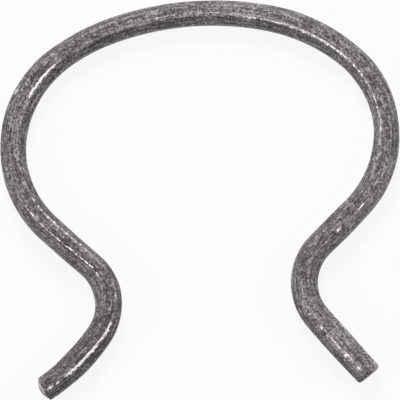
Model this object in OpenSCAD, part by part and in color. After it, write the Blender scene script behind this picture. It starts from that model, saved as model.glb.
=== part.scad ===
// Retaining clip of a window crank: one length of spring wire, bent flat.
// A wide crown runs down into two lobes that hug the crank's hub. The flanks then draw in to two
// waists, which drop into the grooves of the hub, and the legs flare out for a puller to push on.
// The clip lies flat: X runs across it, Y up to its crown, Z through the wire.
// Every bend's radius is taken to the middle of the wire.

/* [Wire] */
// Diameter of the wire, across its round corners
wire_d = 1.9; // [1.4:0.05:2.4]
// What the rolled flats on the top and bottom take off the diameter
top_rolled = 0.12; // [0.06:0.01:0.25]
// What the rolled flats on the two sides take off the diameter
side_rolled = 0.08; // [0.04:0.01:0.2]
// Radius that the straight runs keep from the wire's coil
cast_r = 150; // [100:10:400]

/* [Crown] */
// Radius of the crown
crown_r = 20.9; // [19:0.1:23]
// Angle of the crown, from its top to each side
crown_angle = 15.5; // [12:0.5:19]

/* [Right side] */
// Radius of the haunch, between the crown and the lobe
right_haunch_r = 12.85; // [11:0.05:15]
// Angle of the haunch
right_haunch_angle = 29.5; // [25:0.5:34]
// Radius of the lobe that hugs the hub
right_lobe_r = 7.75; // [7:0.05:8.5]
// Angle of the lobe
right_lobe_angle = 92.5; // [86:0.5:99]
// Length of the flank, from the lobe to the waist
right_flank = 3.6; // [2:0.05:5]
// Radius of the waist
right_waist_r = 3.9; // [3:0.05:5]
// Angle of the waist, which bends back the other way
right_waist_angle = 85.5; // [78:0.5:93]
// Length of the leg
right_leg = 5.4; // [4:0.05:8]
// Radius that the leg is bowed to
right_leg_r = 150; // [14:1:200]
// Turn of the cut end, seen from above
right_skew_angle = -5; // [-15:1:15]
// Lean of the cut end towards the top
right_lean_angle = 5; // [-15:1:15]

/* [Left side] */
// Radius of the haunch
left_haunch_r = 14.3; // [12:0.05:17]
// Angle of the haunch
left_haunch_angle = 17; // [12:0.5:22]
// Radius of the lobe
left_lobe_r = 8.15; // [7.5:0.05:9]
// Angle of the lobe
left_lobe_angle = 101; // [94:0.5:108]
// Length of the flank
left_flank = 4.15; // [3:0.05:6]
// Radius of the waist
left_waist_r = 3.85; // [3:0.05:5]
// Angle of the waist
left_waist_angle = 82.5; // [75:0.5:90]
// Length of the leg
left_leg = 5.45; // [4:0.05:8]
// Radius that the leg is bowed to
left_leg_r = 14; // [10:1:200]
// Turn of the cut end, seen from above
left_skew_angle = 4; // [-15:1:15]
// Lean of the cut end towards the top
left_lean_angle = 10; // [-15:1:15]

/* [Hidden] */
$fn = 64;
// Steps of a full circle along the wire
bend_fn = 180;
// Length that the shears take off each leg
cut_stock = 0.6;
// How far each bend runs into the one before it, so that they fuse
weld = 5e-8;
wire_t = wire_d - top_rolled;
wire_w = wire_d - side_rolled;

// A bend is [radius, angle]. It curls round the hub, or back the other way if its radius is negative.
crown = [crown_r, crown_angle];
right_bends = [
  crown,
  [right_haunch_r, right_haunch_angle],
  [right_lobe_r, right_lobe_angle],
  run(right_flank, cast_r),
  [-right_waist_r, right_waist_angle],
  run(right_leg, -right_leg_r)
];
left_bends = [
  crown,
  [left_haunch_r, left_haunch_angle],
  [left_lobe_r, left_lobe_angle],
  run(left_flank, cast_r),
  [-left_waist_r, left_waist_angle],
  run(left_leg, -left_leg_r)
];
lobe_i = 2;
leg_i = 5;
leg_end_i = 6;

// The clip's reach from the top of the crown's midline, for an origin in the middle of its underside
reach_right = lobe_reach(right_bends);
reach_left = lobe_reach(left_bends);
reach_top = wire_w / 2;
reach_down = min(leg_reach(right_bends, right_skew_angle), leg_reach(left_bends, left_skew_angle));

// A nearly straight run of a given length, as a bend of a whole number of hundredths of a degree
function run(length, r) = [r, round(length / abs(r) * 180 / PI * 100) / 100];

// Heading of the wire where bend i starts: 0 at the crown's top, and clockwise round the hub
function heading(bends, i) = i == 0 ? 0 : heading(bends, i - 1) - sign(bends[i - 1][0]) * bends[i - 1][1];

// Unit vectors along a wire with this heading, and to its outer side
function forward(a) = [cos(a), sin(a)];
function outward(a) = [-sin(a), cos(a)];

// Place of the wire's middle where bend i starts
function joint(bends, i) =
  i == 0 ? [0, 0]
  : joint(bends, i - 1)
    - bends[i - 1][0] * (outward(heading(bends, i - 1)) - outward(heading(bends, i)))
    - weld * forward(heading(bends, i));

function centre(bends, i) = joint(bends, i) - bends[i][0] * outward(heading(bends, i));

function lobe_reach(bends) = centre(bends, lobe_i).x + bends[lobe_i][0] + wire_w / 2;

// Lowest corner of a leg's cut end
function leg_reach(bends, skew) =
  let (a = heading(bends, leg_end_i), half = wire_w / 2)
  joint(bends, leg_end_i).y - half * cos(a) + half * tan(skew) * sin(a);

// Moves in a coarse and a fine step, so that neighbouring bends meet exactly
module place(spot) {
  coarse = [for (v = spot) round(v * 1000) / 1000];
  translate(coarse) translate(spot - coarse) children();
}

// Drawn wire: round, with four rolled flats
module wire_section() {
  intersection() {
    circle(d = wire_d);
    square([wire_w, wire_t], center = true);
  }
}

// Bend i, and an angle to spare past its end
module bend(bends, i, spare = 0) {
  r = bends[i][0];
  first = r > 0 ? heading(bends, i + 1) + 90 : heading(bends, i) - 90;
  place(centre(bends, i))
    rotate_extrude(angle = bends[i][1] + spare, start = first, $fn = bend_fn)
      translate([abs(r), 0]) wire_section();
}

// What the shears take off a leg
module offcut(bends, skew, lean) {
  size = 3 * wire_d;
  place(joint(bends, leg_end_i))
    rotate([0, 0, heading(bends, leg_end_i) + skew])
      rotate([0, -lean, 0])
        translate([0, -size / 2, -size / 2]) cube(size);
}

module side(bends, skew, lean) {
  cut_spare = run(cut_stock, bends[leg_i][0])[1];
  difference() {
    union() {
      for (i = [0 : leg_i - 1]) bend(bends, i);
      bend(bends, leg_i, cut_spare);
    }
    offcut(bends, skew, lean);
  }
}

module clip() {
  color("#5c5a5a")
    translate([(reach_left - reach_right) / 2, -(reach_top + reach_down) / 2, wire_t / 2]) {
      side(right_bends, right_skew_angle, right_lean_angle);
      mirror([1, 0, 0]) side(left_bends, left_skew_angle, left_lean_angle);
    }
}

clip();
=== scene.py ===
import math

import bmesh
import bpy
from mathutils import Matrix, Vector


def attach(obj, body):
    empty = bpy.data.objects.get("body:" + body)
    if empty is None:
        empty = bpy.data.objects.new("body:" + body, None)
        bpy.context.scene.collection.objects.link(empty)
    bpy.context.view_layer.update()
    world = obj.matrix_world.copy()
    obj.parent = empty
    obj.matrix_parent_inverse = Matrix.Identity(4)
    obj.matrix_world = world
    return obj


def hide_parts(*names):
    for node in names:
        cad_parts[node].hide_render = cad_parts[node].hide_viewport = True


# Window crank clip: one length of spring wire lying on a pale floor. The scene is in metres.
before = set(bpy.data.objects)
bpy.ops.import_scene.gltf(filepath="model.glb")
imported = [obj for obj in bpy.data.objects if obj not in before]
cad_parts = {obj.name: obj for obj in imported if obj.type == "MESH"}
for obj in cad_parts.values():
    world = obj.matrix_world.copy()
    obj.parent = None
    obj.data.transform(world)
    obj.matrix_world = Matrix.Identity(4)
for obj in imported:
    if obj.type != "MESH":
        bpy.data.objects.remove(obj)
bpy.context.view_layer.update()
up = Vector((0, 0, 1))
mm = 0.001


def linearColour(hexColour):
    # sRGB hex to the linear colour that the nodes take
    parts = [int(hexColour[i:i + 2], 16) / 255 for i in (1, 3, 5)]
    return [p / 12.92 if p <= 0.04045 else ((p + 0.055) / 1.055) ** 2.4 for p in parts] + [1]


def addNode(tree, kind, inputs=None, stops=None, **settings):
    # one node with its settings, a value or a link for each input, and (place, colour) stops for a ramp
    node = tree.nodes.new(kind)
    for name, value in settings.items():
        setattr(node, name, value)
    for key, source in (inputs or {}).items():
        if isinstance(key, int):
            socket = node.inputs[key]
        else:
            socket = next(s for s in node.inputs if s.enabled and s.name == key)
        if isinstance(source, bpy.types.Node):
            source = next(s for s in source.outputs if s.enabled)
        if isinstance(source, bpy.types.NodeSocket):
            tree.links.new(source, socket)
        else:
            socket.default_value = source
    for i, (place, colour) in enumerate(stops or ()):
        stop = node.color_ramp.elements[i] if i < 2 else node.color_ramp.elements.new(place)
        stop.position = place
        stop.color = colour if isinstance(colour, tuple) else linearColour(colour)
    return node


# Wire: drawn, with rolled flats, bent flat and sheared off. Sizes in mm, angles in degrees.
# A bend is (radius of the wire's middle, angle), and a negative radius bends back away from the hub.
# Places along the wire run from the crown's top, and those on the left side are negative.
wire = {
    "diameter": 1.9,
    "thickness": 1.78,    # between the top and bottom flats
    "width": 1.82,        # between the side flats
    "crownTop": (-0.145, 13.395),
    # crown, haunch, lobe, flank, waist and leg
    "left": ((20.9, 15.5), (14.3, 17), (8.15, 101), (150, 1.59), (-3.85, 82.5), (-14, 22.3)),
    "right": ((20.9, 15.5), (12.85, 29.5), (7.75, 92.5), (150, 1.38), (-3.9, 85.5), (-150, 2.11)),
    # cut ends: turn and lean of the cut, radius of its rim and height of its dome
    "leftCut": {"skew": 6, "lean": -5, "rim": 0.06, "dome": 0.3},
    "rightCut": {"skew": -3, "lean": -8, "rim": 0.24, "dome": 0.03},
    "spareLength": 0.6,   # what the shears take off each leg
    "facets": 8,
    "facetDepth": 0.6,    # 0 leaves the wire round between its flats, 1 makes the facets flat
    # the mesh: steps round the wire, their length along it, and steps over a rim and over a dome
    "segments": 80,
    "stepLength": 0.13,
    "rimSteps": 5,
    "domeSteps": 4,
    # a vertex this near to the plane of a cut lies in it, for the cut itself and to find its rim
    "cutDistance": 0.00001,
    "rimDistance": 0.0001,
    # how far the facets turn to the inner side: (place along, angle)
    "roll": ((-40, 2), (-36.5, 4), (-33.5, 10), (-30.5, 15), (-28, 15), (-26, 10), (-22, 6), (-18, 4),
             (0, 4), (14, 3), (20, 1), (26, 0), (31, 3), (40, 5)),
    # the wire's width against its nominal one: (place along, share)
    "swell": ((-40, 0.95), (-38.3, 0.97), (-36.4, 1.045), (-34.4, 1.045), (-32.4, 1.025),
              (-30.3, 1.07), (-28.3, 1.025), (-24, 1.045), (-18, 1.015), (-14.4, 1.06), (-12, 1.035),
              (-8.5, 0.965), (1, 0.963), (4, 0.985), (8, 1.015), (12, 1.0), (14.5, 1.03), (18.3, 0.99),
              (20.5, 1.035), (22.3, 1.03), (24.3, 1.005), (26.5, 1.04), (28.3, 1.015), (30.3, 1.035),
              (32, 1.045), (36.4, 1.075), (39, 1.04)),
}


def between(table, place):
    # value at a place in a table of (place, value), eased from one to the next
    if place <= table[0][0]:
        return table[0][1]
    for (a, va), (b, vb) in zip(table, table[1:]):
        if place <= b:
            t = (place - a) / (b - a)
            return va + (vb - va) * t * t * (3 - 2 * t)
    return table[-1][1]


def spinSide(bm, ring, bends, side, places):
    # carries the ring along the bends of one side, and notes where each vertex is on the wire: its
    # place along, the wire's middle there, the way outward, and the angle from the top
    spot = Vector((wire["crownTop"][0], wire["crownTop"][1], wire["thickness"] / 2)) * mm
    heading, done, last = 0.0, 0.0, ring
    for i, (radius, angle) in enumerate(bends):
        radius *= mm
        turn = math.radians(angle)
        if i == len(bends) - 1:
            spare = wire["spareLength"] * mm / abs(radius)
        else:
            spare = 0
        sign = math.copysign(1, radius)
        outward = Vector((-side * math.sin(heading), math.cos(heading), 0))
        centre = spot - outward * radius
        spin = -side * sign
        steps = math.ceil(abs(radius) * (turn + spare) / (wire["stepLength"] * mm))
        before = len(bm.verts)
        made = bmesh.ops.spin(bm, geom=last, cent=centre, axis=up, dvec=(0, 0, 0),
                              angle=spin * (turn + spare), steps=steps, use_merge=False,
                              use_normal_flip=False, use_duplicate=False)
        last = made["geom_last"]
        bm.verts.ensure_lookup_table()
        start = spot - centre
        for v in bm.verts[before:]:
            arm = v.co - centre
            height = arm.z
            arm.z = 0
            turned = spin * math.atan2(start.x * arm.y - start.y * arm.x, start.dot(arm))
            across = (arm.length - abs(radius)) * sign
            arm.normalize()
            places[v] = (side * (done + abs(radius) * turned), centre + arm * abs(radius), arm * sign,
                         math.atan2(across, height))
        done += abs(radius) * turn
        spot = centre + Matrix.Rotation(spin * turn, 3, "Z") @ start
        heading -= sign * turn
    return spot, Vector((side * math.cos(heading), math.sin(heading), 0))


def shapeSection(places, layer):
    # turns each ring from round into eight soft facets, rolled and swelled as the wire runs
    radius = wire["diameter"] / 2 * mm
    facet = 2 * math.pi / wire["facets"]
    highest = wire["thickness"] / 2 * mm
    widest = wire["width"] / 2 * mm
    for v, (along, axisPoint, outward, angle) in places.items():
        place = along / mm
        within = (angle + facet / 2) % facet - facet / 2
        chord = radius * math.cos(facet / 2) / math.cos(within)
        reach = radius + (chord - radius) * wire["facetDepth"]
        v[layer] = (along, reach * math.sin(angle), reach * math.cos(angle))
        turned = angle - math.radians(between(wire["roll"], place))
        across = max(-widest, min(widest, reach * math.sin(turned)))
        height = max(-highest, min(highest, reach * math.cos(turned)))
        v.co = axisPoint + outward * across * between(wire["swell"], place) + up * height


def shear(bm, spot, forward, side, cut, layer):
    # cuts a leg off by a slanting plane, rounds the rim and closes it with a low dome
    normal = Matrix.Rotation(math.radians(side * cut["skew"]), 3, "Z") @ forward
    lean = math.radians(cut["lean"])
    normal = normal * math.cos(lean) + up * math.sin(lean)
    plane = spot - normal * cut["rim"] * mm
    bmesh.ops.bisect_plane(bm, geom=bm.verts[:] + bm.edges[:] + bm.faces[:], plane_co=plane,
                           plane_no=normal, dist=wire["cutDistance"] * mm, clear_outer=True)
    near = wire["rimDistance"] * mm
    rim = [e for e in bm.edges if e.is_boundary and abs((e.verts[0].co - plane).dot(normal)) < near]
    cap = bmesh.ops.contextual_create(bm, geom=rim)["faces"][0]

    # half width and height of each step of the rim and the dome
    half = wire["width"] / 2
    inner = half - cut["rim"]
    profile = [(half, 0.0)]
    for i in range(1, wire["rimSteps"] + 1):
        angle = math.pi / 2 * i / wire["rimSteps"]
        profile.append((inner + cut["rim"] * math.cos(angle), cut["rim"] * math.sin(angle)))
    for i in range(1, wire["domeSteps"]):
        share = 1 - i / wire["domeSteps"]
        profile.append((inner * share, cut["rim"] + cut["dome"] * (1 - share ** 2)))

    # the cap rises through them, and is bare sheared steel past the rim
    for i, ((wide, low), (narrow, high)) in enumerate(zip(profile, profile[1:])):
        if i == wire["rimSteps"]:
            cap.material_index = 1
        middle = cap.calc_center_median()
        cap = bmesh.ops.extrude_discrete_faces(bm, faces=[cap])["faces"][0]
        share = narrow / wide
        bmesh.ops.scale(bm, verts=cap.verts[:], vec=(share, share, share),
                        space=Matrix.Translation(-middle))
        bmesh.ops.translate(bm, verts=cap.verts[:], vec=normal * (high - low) * mm)
        for v in cap.verts:
            along, across, height = v[layer]
            v[layer] = (along + side * (high - low) * mm, across * share, height * share)
    bmesh.ops.poke(bm, faces=[cap], offset=cut["dome"] * mm / wire["domeSteps"] ** 2)


def buildWire():
    # its attribute is each vertex's place in the wire before it is bent: along, across and up, in metres
    bm = bmesh.new()
    layer = bm.verts.layers.float_vector.new("straightWire")
    middle = Vector((wire["crownTop"][0], wire["crownTop"][1], wire["thickness"] / 2)) * mm
    upright = Matrix.Translation(middle) @ Matrix.Rotation(math.pi / 2, 4, "Y")
    bmesh.ops.create_circle(bm, cap_ends=False, segments=wire["segments"],
                            radius=wire["diameter"] / 2 * mm, matrix=upright)
    places = {}
    for v in bm.verts:
        arm = v.co - middle
        places[v] = (0.0, middle.copy(), Vector((0, 1, 0)), math.atan2(arm.y, arm.z))
    ring = bm.verts[:] + bm.edges[:]
    rightEnd = spinSide(bm, ring, wire["right"], 1, places)
    leftEnd = spinSide(bm, ring, wire["left"], -1, places)
    shapeSection(places, layer)
    shear(bm, *rightEnd, 1, wire["rightCut"], layer)
    shear(bm, *leftEnd, -1, wire["leftCut"], layer)
    bmesh.ops.recalc_face_normals(bm, faces=bm.faces[:])
    for face in bm.faces:
        face.smooth = True
    mesh = bpy.data.meshes.new("springWire")
    bm.to_mesh(mesh)
    bm.free()
    piece = bpy.data.objects.new("springWire", mesh)
    bpy.context.scene.collection.objects.link(piece)
    print("wire:", len(mesh.vertices), "vertices")
    return piece


# Phosphated spring steel: drawn wire with a dull crystalline coating, dark grey and finely mottled,
# with the lines of the die along it and bright steel where its edges are worn bare. Light lines and
# bare steel along the facet edges and the crown are also painted highlights, and the outer flanks are
# painted lighter as painted light. Sizes in mm.
coating = {
    # shades of the coating, from its darkest crystals to its rubbed ones
    "shades": ((0.1, "#272324"), (0.34, "#524d4e"), (0.5, "#6d6869"), (0.66, "#8a8586"),
               (0.92, "#c2bdbd")),
    "bareShade": "#d2d0ce",
    "nickShade": "#2a2627",
    # size, how much it counts, and detail of each pattern. The grain and the distance between die
    # lines are drawn coarser than real, so that they show.
    "patterns": {
        "grain": (0.16, 1.78, 3),       # clusters of crystals
        "blotch": (0.42, 0.7, 2),       # spots where the coating is thin or thick
        "cloud": (1.4, 0.47, 3),        # slow changes of the coating
        "dieLine": (0.11, 1.22, 2),     # lines that the die leaves, one beside another
    },
    "patternRoughness": 0.6,
    "dieLineLength": 1.6,
    "relief": 0.05,
    "roughness": 0.5,
    "specular": 0.35,         # a porous coating soaks up part of its gloss
    "bareRoughness": 0.28,
    # patches that break a rubbed edge into flecks: their noise, where in it they begin and are full,
    # and how much they then strengthen the rub
    "fleck": 0.26,
    "fleckDetail": 3,
    "fleckRoughness": 0.8,
    "fleckSpan": (1 / 6, 5 / 6),
    "strongestFleck": 2,
    # how strongly an edge is marked, by wear and by painted highlights and light, where its line begins
    # to show and is full, where bare steel begins and is full, and where a nick does
    "lineSpan": (0.05, 0.45),
    "bareSpan": (0.45, 0.72),
    "nickSpan": (0.3, 0.6),
    "lineShift": 0.22,        # how much lighter a light line is, on the scale of the shades; some lines are wear and some painted highlights or painted light
    # how far the colour is shifted lighter or darker along the wire: (place along, shift)
    "tone": ((-40, -0.03), (-37, -0.06), (-30, -0.05), (-26, -0.02), (-20, -0.02), (-10, 0.01),
             (1, 0.01), (5, 0.04), (10, 0.04), (14, 0), (33, 0), (37, 0.01), (39.5, 0.05)),
    # what the tables along the wire cover: its length about the crown's top, tones and strengths
    "wireSpan": 84,
    "toneLimits": (-0.5, 0.5),
    "strengthLimits": (0, 2),
}

# Rubbed edges and facets, with painted highlights along the facet edges and the crown and painted
# light on the outer flanks: the angle from the top with the outer side positive, the half width and
# how far it wavers, all in degrees, and (place along, strength), where 0.3 is a light line and 1 bare
# steel
rubsAndPaintedLight = {
    # painted highlight: the light line and bare steel along the inner facet edge are partly wear and
    # partly a highlight painted into the colour
    "innerEdge": {"angle": -20.5, "width": 11.0, "waver": 26, "strengths": (
        (-39.4, 0.3), (-39.0, 1.2), (-38.75, 0.3), (-38.5, 1.3), (-38.25, 0.2), (-37.8, 0.6),
        (-37.2, 1.3), (-33.6, 1.0), (-32.6, 0.5), (-29.5, 0.5), (-28.0, 0.63), (-22.5, 0.55),
        (-19.0, 0.42), (-13.9, 0.5), (-13.5, 1.15), (-11.7, 1.05), (-10.6, 0.7), (-9.9, 0.45),
        (-3, 0.45), (3.6, 0.5), (4.4, 0.74), (6.5, 0.7), (11, 0.82), (13, 0.64), (21, 0.5),
        (25, 0.3), (30, 0.25), (40, 0.2))},
    # painted highlight: the light line and bright flecks along the outer facet edge are partly wear and
    # partly a highlight painted into the colour
    "outerEdge": {"angle": 22.5, "width": 8.0, "waver": 26, "strengths": (
        (-40, 0.1), (-31, 0.25), (-28.5, 0.7), (-23.5, 0.6), (-21, 0.4), (-17, 0.25), (0, 0.3),
        (14, 0.2), (19, 0.35), (21.9, 0.4), (22.1, 1.0), (22.3, 0.4), (24.5, 0.35), (24.7, 1.5),
        (24.9, 0.4), (26.7, 0.35), (26.9, 1.6), (27.1, 0.35), (28.15, 0.35), (28.3, 1.5),
        (28.45, 0.35), (31, 0.3), (40, 0.3))},
    # painted highlight: a second light line along the top of the crown
    "crownMiddle": {"angle": -9.0, "width": 6.0, "waver": 26, "strengths": (
        (-6, 0), (-3.5, 0.45), (0, 0.55), (3, 0.5), (5.5, 0.3), (9, 0))},
    "legTop": {"angle": -12.0, "width": 32.0, "waver": 60, "strengths": (
        (31, 0), (33, 0.4), (35, 0.55), (37, 0.55), (38.6, 0.45), (39.1, 0.65), (39.4, 0.1))},
    "legScrape": {"angle": -8.0, "width": 12.0, "waver": 100, "strengths": (
        (33.8, 0), (34.6, 0.5), (35.2, 0.5), (36.6, 0.2), (37.5, 0.75), (38.3, 0.75), (38.6, 0),
        (38.9, 0.5), (39.2, 0.1))},
    "outerSpeck": {"angle": 50, "width": 14, "waver": 26, "strengths": (
        (-14.1, 0), (-13.95, 1.9), (-13.65, 1.9), (-13.5, 0))},
    "outerEnd": {"angle": 72, "width": 32, "waver": 60, "strengths": (
        (32.5, 0), (34, 0.35), (36.5, 0.3), (38.3, 0.4), (39.4, 0.75))},
    # painted light: the outer side of each flank is painted lighter, standing in for light that falls on
    # it
    "outerFlank": {"angle": 52.0, "width": 48.0, "waver": 26, "strengths": (
        (-31, 0), (-29.5, 0.18), (-24.5, 0.22), (-22, 0), (19.5, 0), (21, 0.45), (25, 0.42),
        (28, 0.38), (31, 0))},
}

# Dark nicks in the coating, given in the same way
nicks = {
    "haunch": {"angle": 16, "width": 9, "waver": 60, "strengths": (
        (-12.8, 0), (-12.5, 1.5), (-11.9, 1.5), (-11.6, 0))},
    "crown": {"angle": 8, "width": 9, "waver": 90, "strengths": (
        (-4.1, 0), (-3.9, 1.5), (-3.2, 1.5), (-3.0, 0))},
    "edge": {"angle": -12, "width": 9, "waver": 60, "strengths": (
        (-12.9, 0), (-12.7, 1.1), (-12.5, 1.1), (-12.3, 0))},
}


def alongWire(tree, along, table, limits):
    # value along the wire from a table of (place along, value), between its lowest and highest
    lowest, highest = limits
    half = coating["wireSpan"] / 2
    share = addNode(tree, "ShaderNodeMapRange", {
        "Value": along, "From Min": -half, "From Max": half, "To Min": 0, "To Max": 1})
    stops = []
    for place, value in table:
        grey = (value - lowest) / (highest - lowest)
        stops.append(((place + half) / (2 * half), (grey, grey, grey, 1)))
    grey = addNode(tree, "ShaderNodeValToRGB", {"Fac": share}, stops)
    return addNode(tree, "ShaderNodeMapRange", {
        "Value": grey, "From Min": 0, "From Max": 1, "To Min": lowest, "To Max": highest})


def wearAndPaintedLightAmount(tree, along, around, fleck, patches, mark):
    # how strongly a stretch of one edge is marked, by wear, a nick, a painted highlight or painted
    # light:
    # most on its line, less to both sides, and broken by patches. The line wavers by the flecks' noise,
    # which is 0.5 on average.
    wavering = addNode(tree, "ShaderNodeMath", {0: fleck, 1: mark["waver"], 2: around},
                       operation="MULTIPLY_ADD")
    away = addNode(tree, "ShaderNodeMath", {0: wavering, 1: mark["angle"] + mark["waver"] / 2},
                   operation="SUBTRACT")
    away = addNode(tree, "ShaderNodeMath", {0: away}, operation="ABSOLUTE")
    near = addNode(tree, "ShaderNodeMapRange", {
        "Value": away, "From Min": mark["width"], "From Max": 0, "To Min": 0, "To Max": 1})
    strength = alongWire(tree, along, mark["strengths"], coating["strengthLimits"])
    there = addNode(tree, "ShaderNodeMath", {0: near, 1: strength}, operation="MULTIPLY")
    return addNode(tree, "ShaderNodeMath", {0: there, 1: patches}, operation="MULTIPLY")


def wireMaterial(name):
    # an empty material, and the place in the unbent wire that its patterns follow
    material = bpy.data.materials.new(name)
    material.use_nodes = True
    tree = material.node_tree
    tree.nodes.clear()
    straight = addNode(tree, "ShaderNodeAttribute", attribute_name="straightWire").outputs["Vector"]
    return material, tree, straight


def coatedSteel():
    material, tree, straight = wireMaterial("phosphatedSpringSteel")
    inMm = addNode(tree, "ShaderNodeVectorMath", {0: straight, "Scale": 1 / mm}, operation="SCALE")
    along, across, height = addNode(tree, "ShaderNodeSeparateXYZ", {0: inMm}).outputs
    around = addNode(tree, "ShaderNodeMath", {0: across, 1: height}, operation="ARCTAN2")
    around = addNode(tree, "ShaderNodeMath", {0: around}, operation="DEGREES")

    # mottle of crystals, blotches, clouds, and die lines that are drawn out along the wire. Each
    # noise is 0.5 on average, and so is their level.
    stretch = coating["patterns"]["dieLine"][0] / coating["dieLineLength"]
    drawn = addNode(tree, "ShaderNodeMapping", {"Vector": inMm, "Scale": (stretch, 1, 1)})
    level = 0.5
    total = 0
    for name, (size, weight, detail) in coating["patterns"].items():
        noise = addNode(tree, "ShaderNodeTexNoise", {
            "Vector": drawn if name == "dieLine" else inMm, "Scale": 1 / size, "Detail": detail,
            "Roughness": coating["patternRoughness"]})
        level = addNode(tree, "ShaderNodeMath", {0: noise, 1: weight, 2: level},
                        operation="MULTIPLY_ADD")
        total += weight
    level = addNode(tree, "ShaderNodeMath", {0: level, 1: total / 2}, operation="SUBTRACT")
    tone = alongWire(tree, along, coating["tone"], coating["toneLimits"])
    level = addNode(tree, "ShaderNodeMath", {0: level, 1: tone}, operation="ADD")

    # how worn it is, with the painted highlights and painted light among the wear, and how nicked
    fleck = addNode(tree, "ShaderNodeTexNoise", {
        "Vector": inMm, "Scale": 1 / coating["fleck"], "Detail": coating["fleckDetail"],
        "Roughness": coating["fleckRoughness"]})
    first, full = coating["fleckSpan"]
    patches = addNode(tree, "ShaderNodeMapRange", {
        "Value": fleck, "From Min": first, "From Max": full,
        "To Min": 0, "To Max": coating["strongestFleck"]})
    wearAndPaintedLight = 0.0
    for mark in rubsAndPaintedLight.values():
        amount = wearAndPaintedLightAmount(tree, along, around, fleck, patches, mark)
        wearAndPaintedLight = addNode(tree, "ShaderNodeMath", {0: amount, 1: wearAndPaintedLight}, operation="MAXIMUM")
    nicked = 0.0
    for nick in nicks.values():
        amount = wearAndPaintedLightAmount(tree, along, around, fleck, patches, nick)
        nicked = addNode(tree, "ShaderNodeMath", {0: amount, 1: nicked}, operation="MAXIMUM")

    # light lines, which are partly painted highlights and painted light, then bare steel, then dark
    # nicks
    first, full = coating["lineSpan"]
    line = addNode(tree, "ShaderNodeMapRange", {
        "Value": wearAndPaintedLight, "From Min": first, "From Max": full,
        "To Min": 0, "To Max": coating["lineShift"]})
    lightened = addNode(tree, "ShaderNodeMath", {0: level, 1: line}, operation="ADD")
    colour = addNode(tree, "ShaderNodeValToRGB", {"Fac": lightened}, coating["shades"])
    first, full = coating["bareSpan"]
    bare = addNode(tree, "ShaderNodeMapRange", {
        "Value": wearAndPaintedLight, "From Min": first, "From Max": full, "To Min": 0, "To Max": 1},
        interpolation_type="SMOOTHSTEP")
    wornColourWithPaintedLight = addNode(tree, "ShaderNodeMix", {
        "Factor": bare, "A": colour, "B": linearColour(coating["bareShade"])}, data_type="RGBA")
    first, full = coating["nickSpan"]
    nicked = addNode(tree, "ShaderNodeMapRange", {
        "Value": nicked, "From Min": first, "From Max": full, "To Min": 0, "To Max": 1})
    nickedSteel = addNode(tree, "ShaderNodeMix", {
        "Factor": nicked, "A": wornColourWithPaintedLight, "B": linearColour(coating["nickShade"])}, data_type="RGBA")

    rough = addNode(tree, "ShaderNodeMapRange", {
        "Value": bare, "To Min": coating["roughness"], "To Max": coating["bareRoughness"]})
    relief = addNode(tree, "ShaderNodeBump", {
        "Strength": 1.0, "Distance": coating["relief"] * mm, "Height": level})
    shader = addNode(tree, "ShaderNodeBsdfPrincipled", {
        "Base Color": nickedSteel, "Metallic": bare, "Roughness": rough, "Normal": relief,
        "Specular IOR Level": coating["specular"]})
    addNode(tree, "ShaderNodeOutputMaterial", {"Surface": shader})
    return material


# Sheared spring steel: burnished bright where the blade went in at the top, then torn and dark.
# Sizes in mm.
shearing = {
    "shades": ((0.3, "#2e2b2c"), (0.46, "#757273"), (0.6, "#f0eeec")),
    "grain": 0.14,            # of the torn steel, drawn coarser than real so that it shows
    "grainDetail": 4,
    "grainRoughness": 0.7,
    "tear": (0.42, 0.84),     # heights above the wire's middle between which the torn part turns bright
    "tearShift": 0.12,        # how far that moves the shade, each way
    "relief": 0.04,
    "metallic": 0.2,
    "roughness": 0.45,
}


def shearedSteel():
    material, tree, straight = wireMaterial("shearedSpringSteel")
    grain = addNode(tree, "ShaderNodeTexNoise", {
        "Vector": straight, "Scale": 1 / (shearing["grain"] * mm), "Detail": shearing["grainDetail"],
        "Roughness": shearing["grainRoughness"]})
    height = addNode(tree, "ShaderNodeSeparateXYZ", {0: straight}).outputs["Z"]
    torn, burnished = shearing["tear"]
    shift = addNode(tree, "ShaderNodeMapRange", {
        "Value": height, "From Min": torn * mm, "From Max": burnished * mm,
        "To Min": -shearing["tearShift"], "To Max": shearing["tearShift"]})
    level = addNode(tree, "ShaderNodeMath", {0: grain, 1: shift}, operation="ADD")
    colour = addNode(tree, "ShaderNodeValToRGB", {"Fac": level}, shearing["shades"])
    relief = addNode(tree, "ShaderNodeBump", {
        "Strength": 1.0, "Distance": shearing["relief"] * mm, "Height": grain})
    shader = addNode(tree, "ShaderNodeBsdfPrincipled", {
        "Base Color": colour, "Metallic": shearing["metallic"], "Roughness": shearing["roughness"],
        "Normal": relief})
    addNode(tree, "ShaderNodeOutputMaterial", {"Surface": shader})
    return material


clip = buildWire()
clip.data.materials.append(coatedSteel())
clip.data.materials.append(shearedSteel())
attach(clip, "root")
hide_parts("clip")
print("coating:", len(rubsAndPaintedLight), "rubbed stretches and", len(nicks), "nicks")

# Camera: looks down on the clip, a little from the side of its legs. Sizes in mm.
view = {
    "towards": (0.090, -0.240, 1),    # direction from the clip to the camera, before the turn
    "turn": -3.9,                     # of the whole view about the upright, in degrees
    "aim": (-0.187, -0.39, 0.89),
    "distance": 256,
    "lens": 324.5,
    "sensor": 36,
    "nearest": 10,
}


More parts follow.
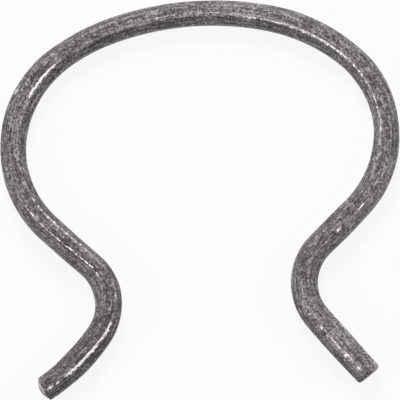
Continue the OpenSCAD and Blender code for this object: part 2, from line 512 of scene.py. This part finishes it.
def buildCamera():
    tilt = up.rotation_difference(Vector(view["towards"]).normalized()).to_matrix().to_4x4()
    facing = Matrix.Rotation(math.radians(view["turn"]), 4, "Z") @ tilt
    aim = Matrix.Translation(Vector(view["aim"]) * mm)
    away = Matrix.Translation(up * view["distance"] * mm)
    camera = bpy.data.objects.new("camera", bpy.data.cameras.new("camera"))
    camera.data.lens = view["lens"]
    camera.data.sensor_width = view["sensor"]
    camera.data.clip_start = view["nearest"] * mm
    bpy.context.scene.collection.objects.link(camera)
    camera.matrix_world = aim @ facing @ away
    bpy.context.scene.camera = camera
    print("camera:", view["distance"], "mm from the clip")


# Floor, backdrop and lamps. Sizes in metres, powers in watts.
studio = {
    "floorSize": 3.0,
    "floorColour": "#f4f4f4",
    "floorRoughness": 0.9,
    "floorWhite": 0.9,      # share of plain white in the floor, which keeps the rest for the shadow
    "worldLevel": 0.08,     # light from the backdrop on the clip
    # soft boxes: one above the crown, and a large one low on each side
    "lamps": {
        "key": {"place": (0.0, 0.145, 0.14), "size": 0.10, "power": 0.3},
        "right": {"place": (0.54, -0.03, 0.254), "size": 0.3, "power": 0.95},
        "left": {"place": (-0.53, -0.12, 0.254), "size": 0.3, "power": 1.35},
    },
}


def seenWhite(tree, level):
    # how much of the plain white shows: for the camera, for gloss and through glass alike
    path = addNode(tree, "ShaderNodeLightPath").outputs
    rays = addNode(tree, "ShaderNodeMath", {0: path["Is Camera Ray"], 1: path["Is Glossy Ray"]},
                   operation="MAXIMUM")
    rays = addNode(tree, "ShaderNodeMath", {0: rays, 1: path["Is Transmission Ray"]},
                   operation="MAXIMUM")
    return addNode(tree, "ShaderNodeMath", {0: rays, 1: level}, operation="MULTIPLY")


def buildFloor():
    bm = bmesh.new()
    bmesh.ops.create_grid(bm, x_segments=1, y_segments=1, size=studio["floorSize"] / 2)
    mesh = bpy.data.meshes.new("floor")
    bm.to_mesh(mesh)
    bm.free()
    floor = bpy.data.objects.new("floor", mesh)
    bpy.context.scene.collection.objects.link(floor)

    # white painted board: matt, and even to the eye
    material = bpy.data.materials.new("paintedBoard")
    material.use_nodes = True
    tree = material.node_tree
    shader = tree.nodes["Principled BSDF"]
    shader.inputs["Base Color"].default_value = linearColour(studio["floorColour"])
    shader.inputs["Roughness"].default_value = studio["floorRoughness"]
    white = addNode(tree, "ShaderNodeEmission", {"Color": (1, 1, 1, 1), "Strength": 1.0})
    both = addNode(tree, "ShaderNodeMixShader", {
        0: seenWhite(tree, studio["floorWhite"]), 1: shader.outputs[0], 2: white.outputs[0]})
    tree.links.new(both.outputs[0], tree.nodes["Material Output"].inputs["Surface"])
    mesh.materials.append(material)


def buildLight():
    world = bpy.data.worlds.new("studio")
    bpy.context.scene.world = world
    world.use_nodes = True
    tree = world.node_tree
    level = addNode(tree, "ShaderNodeMapRange", {
        "Value": seenWhite(tree, 1.0), "To Min": studio["worldLevel"], "To Max": 1.0})
    tree.links.new(level.outputs[0], tree.nodes["Background"].inputs["Strength"])
    tree.nodes["Background"].inputs["Color"].default_value = (1, 1, 1, 1)
    for name, box in studio["lamps"].items():
        lamp = bpy.data.lights.new(name, "AREA")
        lamp.shape = "DISK"
        lamp.size = box["size"]
        lamp.energy = box["power"]
        holder = bpy.data.objects.new(name, lamp)
        holder.location = box["place"]
        holder.rotation_euler = Vector(box["place"]).to_track_quat("Z", "Y").to_euler()
        bpy.context.scene.collection.objects.link(holder)


buildCamera()
buildFloor()
buildLight()
bpy.context.scene.view_settings.view_transform = "Standard"
print("studio: floor, world and", len(studio["lamps"]), "lamps")
